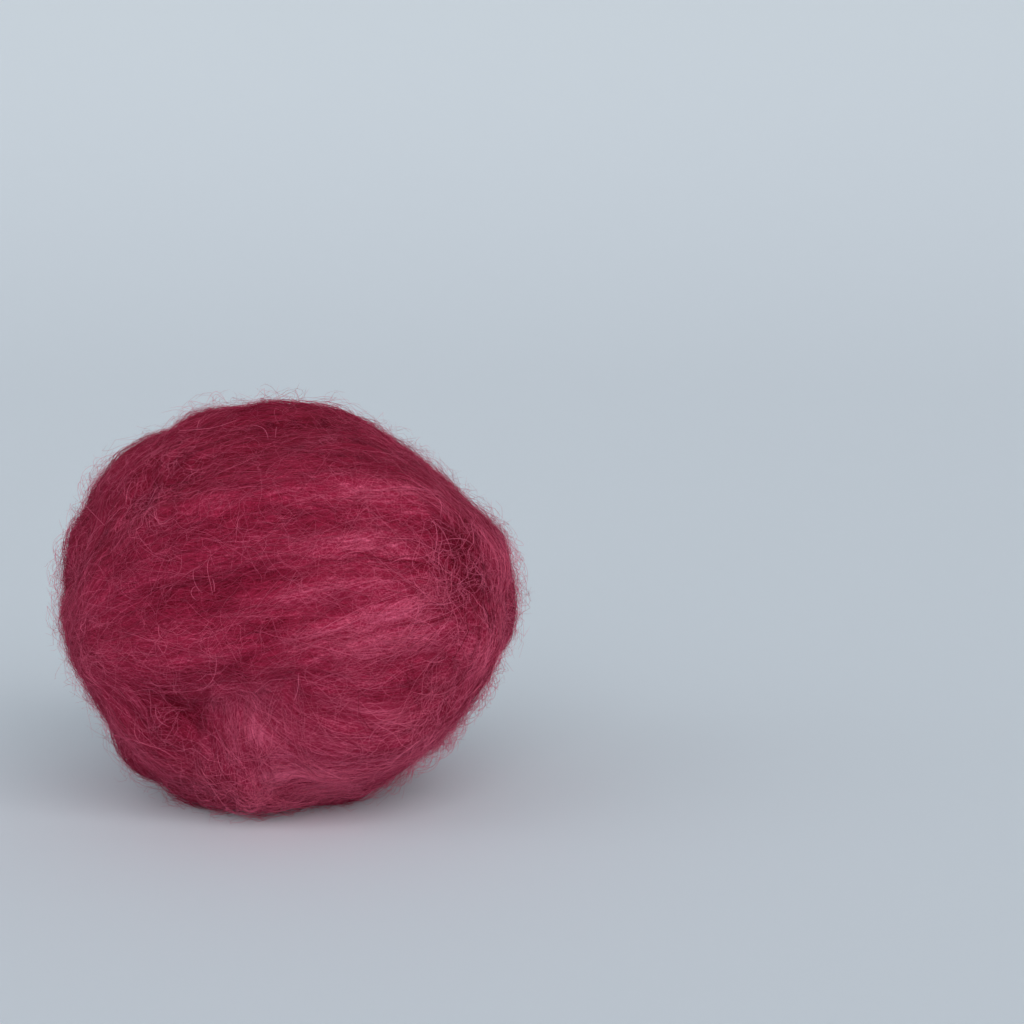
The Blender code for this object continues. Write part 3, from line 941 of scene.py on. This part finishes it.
# Degrees but for the length and the rise; heading is the way at the start, against level, bend
# how far it turns in all, curl how much more of that comes late.
Stray = namedtuple("Stray", "name turn lift heading length bend curl rise", defaults=(0, 0.0006))
STRAYS = [Stray(*row) for row in (
    ("loop_stem",       256,  21, -120, 0.0065,  100, -65),
    ("loop_left",       252,  18, -115, 0.0045,   75),
    ("loop_low",        252,  14, -150, 0.0030,  120),
    ("loop_right",      256,  16,  -40, 0.0025,  -70),
    ("left_middle",     243,   4,  -90, 0.0030,   50),
    ("left_edge",       221,   2, -140, 0.0020,   90),
    ("left_brow",       184,  27,   10, 0.0215,  -10),
    ("brow_first",      221,  38,  -70, 0.0045,  -20),
    ("brow_second",     232,  38,  -25, 0.0055, -100),
    ("hanging",         245, -38,  -60, 0.0180,  -60, 0, 0.0016),
    ("low_middle",      265, -22,  -70, 0.0045,  -10),
    ("low_left",        229, -24, -105, 0.0050,   65),
    ("low_left_second", 238, -18, -105, 0.0050,   50),
    ("low_second",      252, -34,  -80, 0.0045,    0),
    ("low_right",       282, -33,  -35, 0.0085,   -5),
    ("middle_drop",     278,  -7,  -85, 0.0055,  -25),
    ("middle_hook",     258,  -2,  -75, 0.0100,  -85),
    ("cap_arc",         203,  59,  -35, 0.0155,  190, -65),
    ("cap_cross",       209,  65,  -30, 0.0050,  -15),
    ("cap_right",       252,  66,  -15, 0.0075,  -50),
    ("cap_short",       270,  66,  -85, 0.0050,   -5),
    ("shoulder",        319,  31, -130, 0.0045,   20),
    ("right_first",     323,  -2, -115, 0.0055,   30),
    ("right_second",    326,  -3, -105, 0.0055,   20),
    ("tuft_first",      308,  -5,  -35, 0.0055,   65),
    ("foot_cross",      238, -56,  -40, 0.0120,   90, 0, 0.0012),
    ("low_right_line",  306, -13,  -20, 0.0100,   30),
    ("mesh_drop",       314,  26,  -90, 0.0075,  -30),
    ("mesh_bar",        314,  21,   10, 0.0090,  -35),
    ("belt_hook",       302,   7,  -90, 0.0065,  270),
)]
Wisp = namedtuple("Wisp", "name turn lift heading length spread rise count")
WISPS = [Wisp(*row) for row in (
    ("right_high",    2,  14, -90, 0.008, 4.0, 0.0030, 26),
    ("right_low",   356, -25, -90, 0.008, 4.0, 0.0030, 30),
    ("lower_right", 355, -34, -90, 0.009, 3.5, 0.0036, 44),
    ("lower_edge",  353, -42, -90, 0.009, 3.5, 0.0036, 44),
    ("low_corner",  350, -52, -90, 0.009, 4.0, 0.0026, 30),
    ("left_high",   176,  27,  90, 0.008, 5.0, 0.0026, 26),
    ("left_middle", 180,   6,  90, 0.008, 5.0, 0.0026, 26),
    ("left_low",    182, -14,  90, 0.008, 5.0, 0.0024, 24),
    ("top",         160,  66,   0, 0.007, 4.0, 0.0026, 12),
    ("tuft_foot",   258, -49, -60, 0.008, 3.0, 0.0018, 40),
    ("sole_left",   259, -57, -20, 0.008, 4.0, 0.0016, 44),
    ("sole_right",  274, -61,  10, 0.008, 4.0, 0.0014, 34),
)]
STRAY_RADIUS = 0.000045
STRAY_SHADE = 1.0
WISP_RADIUS = 0.000022
WISP_SHADE = 0.86
STRAY_COVER = 0.0012        # how high over the skin the lowest of them lies
STRAY_POINTS = 14
STRAY_SEED = 3
SMOOTH_OVER = 5             # points that a stray's height over the skin is smoothed over
WISP_HEADING = 45.0         # degrees that wisps differ by, in their heading, bend and curl
WISP_BEND = 110.0
WISP_CURL = 90.0
FAR_OUT = 0.1               # a point on this far from the centre is outside the ball


def loose_path(surface, turn, lift, heading, length, bend, curl, rise):
    """Points along a fibre over the skin: heading is its angle at the start, from level."""
    centre = Vector((0.0, 0.0, CENTRE_HEIGHT))
    outward = Vector(direction(turn, lift))
    way = Vector((0.0, 0.0, 1.0)).cross(outward).normalized()
    way.rotate(Quaternion(outward, math.radians(heading)))
    step_length = length / (STRAY_POINTS - 1)
    outwards, radii = [], []
    for step in range(STRAY_POINTS):
        touched = surface.ray_cast(centre + outward * FAR_OUT, -outward)[0]
        outwards.append(outward)
        radii.append((touched - centre).length)
        turning = (bend + 2.0 * curl * step / (STRAY_POINTS - 1)) / (STRAY_POINTS - 1)
        way.rotate(Quaternion(outward, math.radians(turning)))
        outward = (outward * radii[-1] + way * step_length).normalized()
        way = (way - outward * way.dot(outward)).normalized()
    radii = np.convolve(np.pad(radii, SMOOTH_OVER // 2, mode="edge"),
                        np.full(SMOOTH_OVER, 1.0 / SMOOTH_OVER), mode="valid")
    arch = rise * np.sin(np.linspace(0.0, np.pi, STRAY_POINTS))
    points = np.array(outwards) * (radii + STRAY_COVER + arch)[:, None]
    points[:, 2] = np.maximum(points[:, 2] + CENTRE_HEIGHT, STRAY_RADIUS * FLOOR_GAP)
    return points


def stray_chains():
    """The stray fibres and wisps as chains of edges that carry their number, radius and shade."""
    cells = skin.data
    surface = BVHTree.FromPolygons([vertex.co for vertex in cells.vertices],
                                   [face.vertices for face in cells.polygons])
    chance = np.random.default_rng(STRAY_SEED)
    paths, radii, shades = [], [], []
    for stray in STRAYS:
        paths.append(loose_path(surface, *stray[1:]))
        radii.append(STRAY_RADIUS)
        shades.append(STRAY_SHADE)
    for wisp in WISPS:
        for _ in range(wisp.count):
            aside = chance.normal(0.0, wisp.spread, 2)
            paths.append(loose_path(
                surface, wisp.turn + aside[0], wisp.lift + aside[1],
                wisp.heading + chance.normal(0.0, WISP_HEADING),
                wisp.length * chance.uniform(0.5, 1.3), chance.normal(0.0, WISP_BEND),
                chance.normal(0.0, WISP_CURL), wisp.rise * chance.uniform(0.1, 1.0)))
            radii.append(WISP_RADIUS * chance.uniform(0.8, 1.3))
            shades.append(WISP_SHADE + chance.uniform(-0.15, 0.15))
    mesh = bpy.data.meshes.new("stray_chains")
    edges = [(first, first + 1) for first in range(len(paths) * STRAY_POINTS)
             if (first + 1) % STRAY_POINTS]
    mesh.from_pydata(np.concatenate(paths).tolist(), edges, [])
    for name, kind, values in (("fibre", "INT", np.arange(len(paths))),
                               ("radius", "FLOAT", radii), ("shade", "FLOAT", shades)):
        values = np.repeat(values, STRAY_POINTS)
        mesh.attributes.new(name, kind, "POINT").data.foreach_set("value", values)
    return mesh


def stray_tree():
    tree, given, made = new_tree("stray_wool", "GeometryNodeTree", {
        "Geometry": ("Geometry",), "Material": ("Material",), "Int": ("Columns", "Rows")},
        {"Geometry": ("Geometry",)})
    curves = put(tree, "GeometryNodeMeshToCurve", {"Mesh": given.outputs["Geometry"]}).outputs[0]
    add_tubes(tree, given, made, curves, named(tree, "radius"))
    return tree


strays = grown(stray_chains(), "stray_fibres", stray_tree(),
               {"Columns": 21, "Rows": 21, "Material": fibre_wool})
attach(strays, "root")

# ------------------------------------------------------------------ the floor
# A pale sheet of paper that the ball stands on by its own weight.  It curves up far away all round,
# so that no edge of it shows, and is painted darker the higher it rises: painted shade.

FLOOR_COLOUR = (0.80, 0.875, 0.95, 1.0)
FAR_SHADED_COLOUR = (0.58, 0.64, 0.67, 1.0)
PAPER_FINISH = {"Roughness": 0.75, "Specular IOR Level": 0.2}
FLOOR_FLAT = 1.0
FLOOR_REACH = 6.5
FLOOR_RISE = 1.4
RISE_STEPS = 24
FLOOR_SIDES = 96


def sweep_floor():
    floor = bmesh.new()
    outline = [(0.0, 0.0)]
    for step in range(RISE_STEPS + 1):
        share = step / RISE_STEPS
        outline.append((FLOOR_FLAT + (FLOOR_REACH - FLOOR_FLAT) * share, FLOOR_RISE * share ** 2))
    corners = [floor.verts.new((reach, 0.0, height)) for reach, height in outline]
    edges = [floor.edges.new(pair) for pair in zip(corners, corners[1:])]
    bmesh.ops.spin(floor, geom=corners + edges, axis=(0, 0, 1), cent=(0, 0, 0),
                   angle=2.0 * math.pi, steps=FLOOR_SIDES, use_duplicate=False)
    bmesh.ops.remove_doubles(floor, verts=floor.verts[:], dist=0.0005)
    bmesh.ops.recalc_face_normals(floor, faces=floor.faces[:])
    mesh = bpy.data.meshes.new("floor")
    floor.to_mesh(mesh)
    floor.free()
    mesh.shade_smooth()
    return mesh


floor = bpy.data.objects.new("floor", sweep_floor())
bpy.context.scene.collection.objects.link(floor)
paper, paper_tree, paper_shader = new_material("floor_paper", PAPER_FINISH)
place = put(paper_tree, "ShaderNodeTexCoord").outputs["Object"]
height = put(paper_tree, "ShaderNodeSeparateXYZ", {"Vector": place}).outputs["Z"]
# Painted shade: the paper is darker the higher it rises.
risen = maths(paper_tree, "DIVIDE", height, FLOOR_RISE)
shaded_paper = put(paper_tree, "ShaderNodeMix", {"Factor": risen, 6: FLOOR_COLOUR, 7: FAR_SHADED_COLOUR},
           data_type="RGBA").outputs[2]
paper_tree.links.new(shaded_paper, paper_shader.inputs["Base Color"])
floor.data.materials.append(paper)

# ------------------------------------------------------------------ light and camera
# Soft studio light from a very broad source in front, a weaker one on the left, and a pale
# surround.  The camera looks a little down from the front, with the ball low on the left.


def broad_light(name, turn, lift, spread, power, colour):
    """Light as from a large far panel: turn and lift say where it comes from."""
    light = bpy.data.lights.new(name, "SUN")
    light.angle = math.radians(spread)
    light.energy = power
    light.color = colour
    holder = bpy.data.objects.new(name, light)
    holder.rotation_euler = Vector(direction(turn, lift)).to_track_quat("Z", "Y").to_euler()
    bpy.context.scene.collection.objects.link(holder)


broad_light("key", -68.0, 15.0, 80.0, 2.75, (1.0, 0.985, 0.97))
broad_light("fill", -138.0, 4.0, 90.0, 1.05, (0.95, 0.975, 1.0))

HORIZON_LIGHT = (0.52, 0.55, 0.58, 1.0)
ZENITH_LIGHT = (0.20, 0.21, 0.22, 1.0)


def surround():
    """A pale surround, darker overhead."""
    world = bpy.data.worlds.new("surround")
    world.use_nodes = True
    tree = world.node_tree
    way = put(tree, "ShaderNodeTexCoord").outputs["Generated"]
    height = put(tree, "ShaderNodeSeparateXYZ", {"Vector": way}).outputs["Z"]
    shade = put(tree, "ShaderNodeMix", {"Factor": height, 6: HORIZON_LIGHT, 7: ZENITH_LIGHT},
                data_type="RGBA")
    tree.links.new(shade.outputs[2], tree.nodes["Background"].inputs["Color"])
    return world


world = surround()
bpy.context.scene.world = world
bpy.context.scene.view_settings.view_transform = "Standard"

CAMERA_LENS = 78.0
CAMERA_SENSOR = 36.0
CAMERA_DISTANCE = 0.43
CAMERA_LIFT = 8.0
CAMERA_AIM = Vector((0.0436, 0.0, 0.0564))

camera = bpy.data.objects.new("camera", bpy.data.cameras.new("camera"))
camera.data.lens = CAMERA_LENS
camera.data.sensor_width = CAMERA_SENSOR
camera.data.clip_start = 0.01
away = Vector((0.0, -math.cos(math.radians(CAMERA_LIFT)), math.sin(math.radians(CAMERA_LIFT))))
camera.location = CAMERA_AIM + away * CAMERA_DISTANCE
camera.rotation_euler = (-away).to_track_quat("-Z", "Y").to_euler()
bpy.context.scene.collection.objects.link(camera)
bpy.context.scene.camera = camera
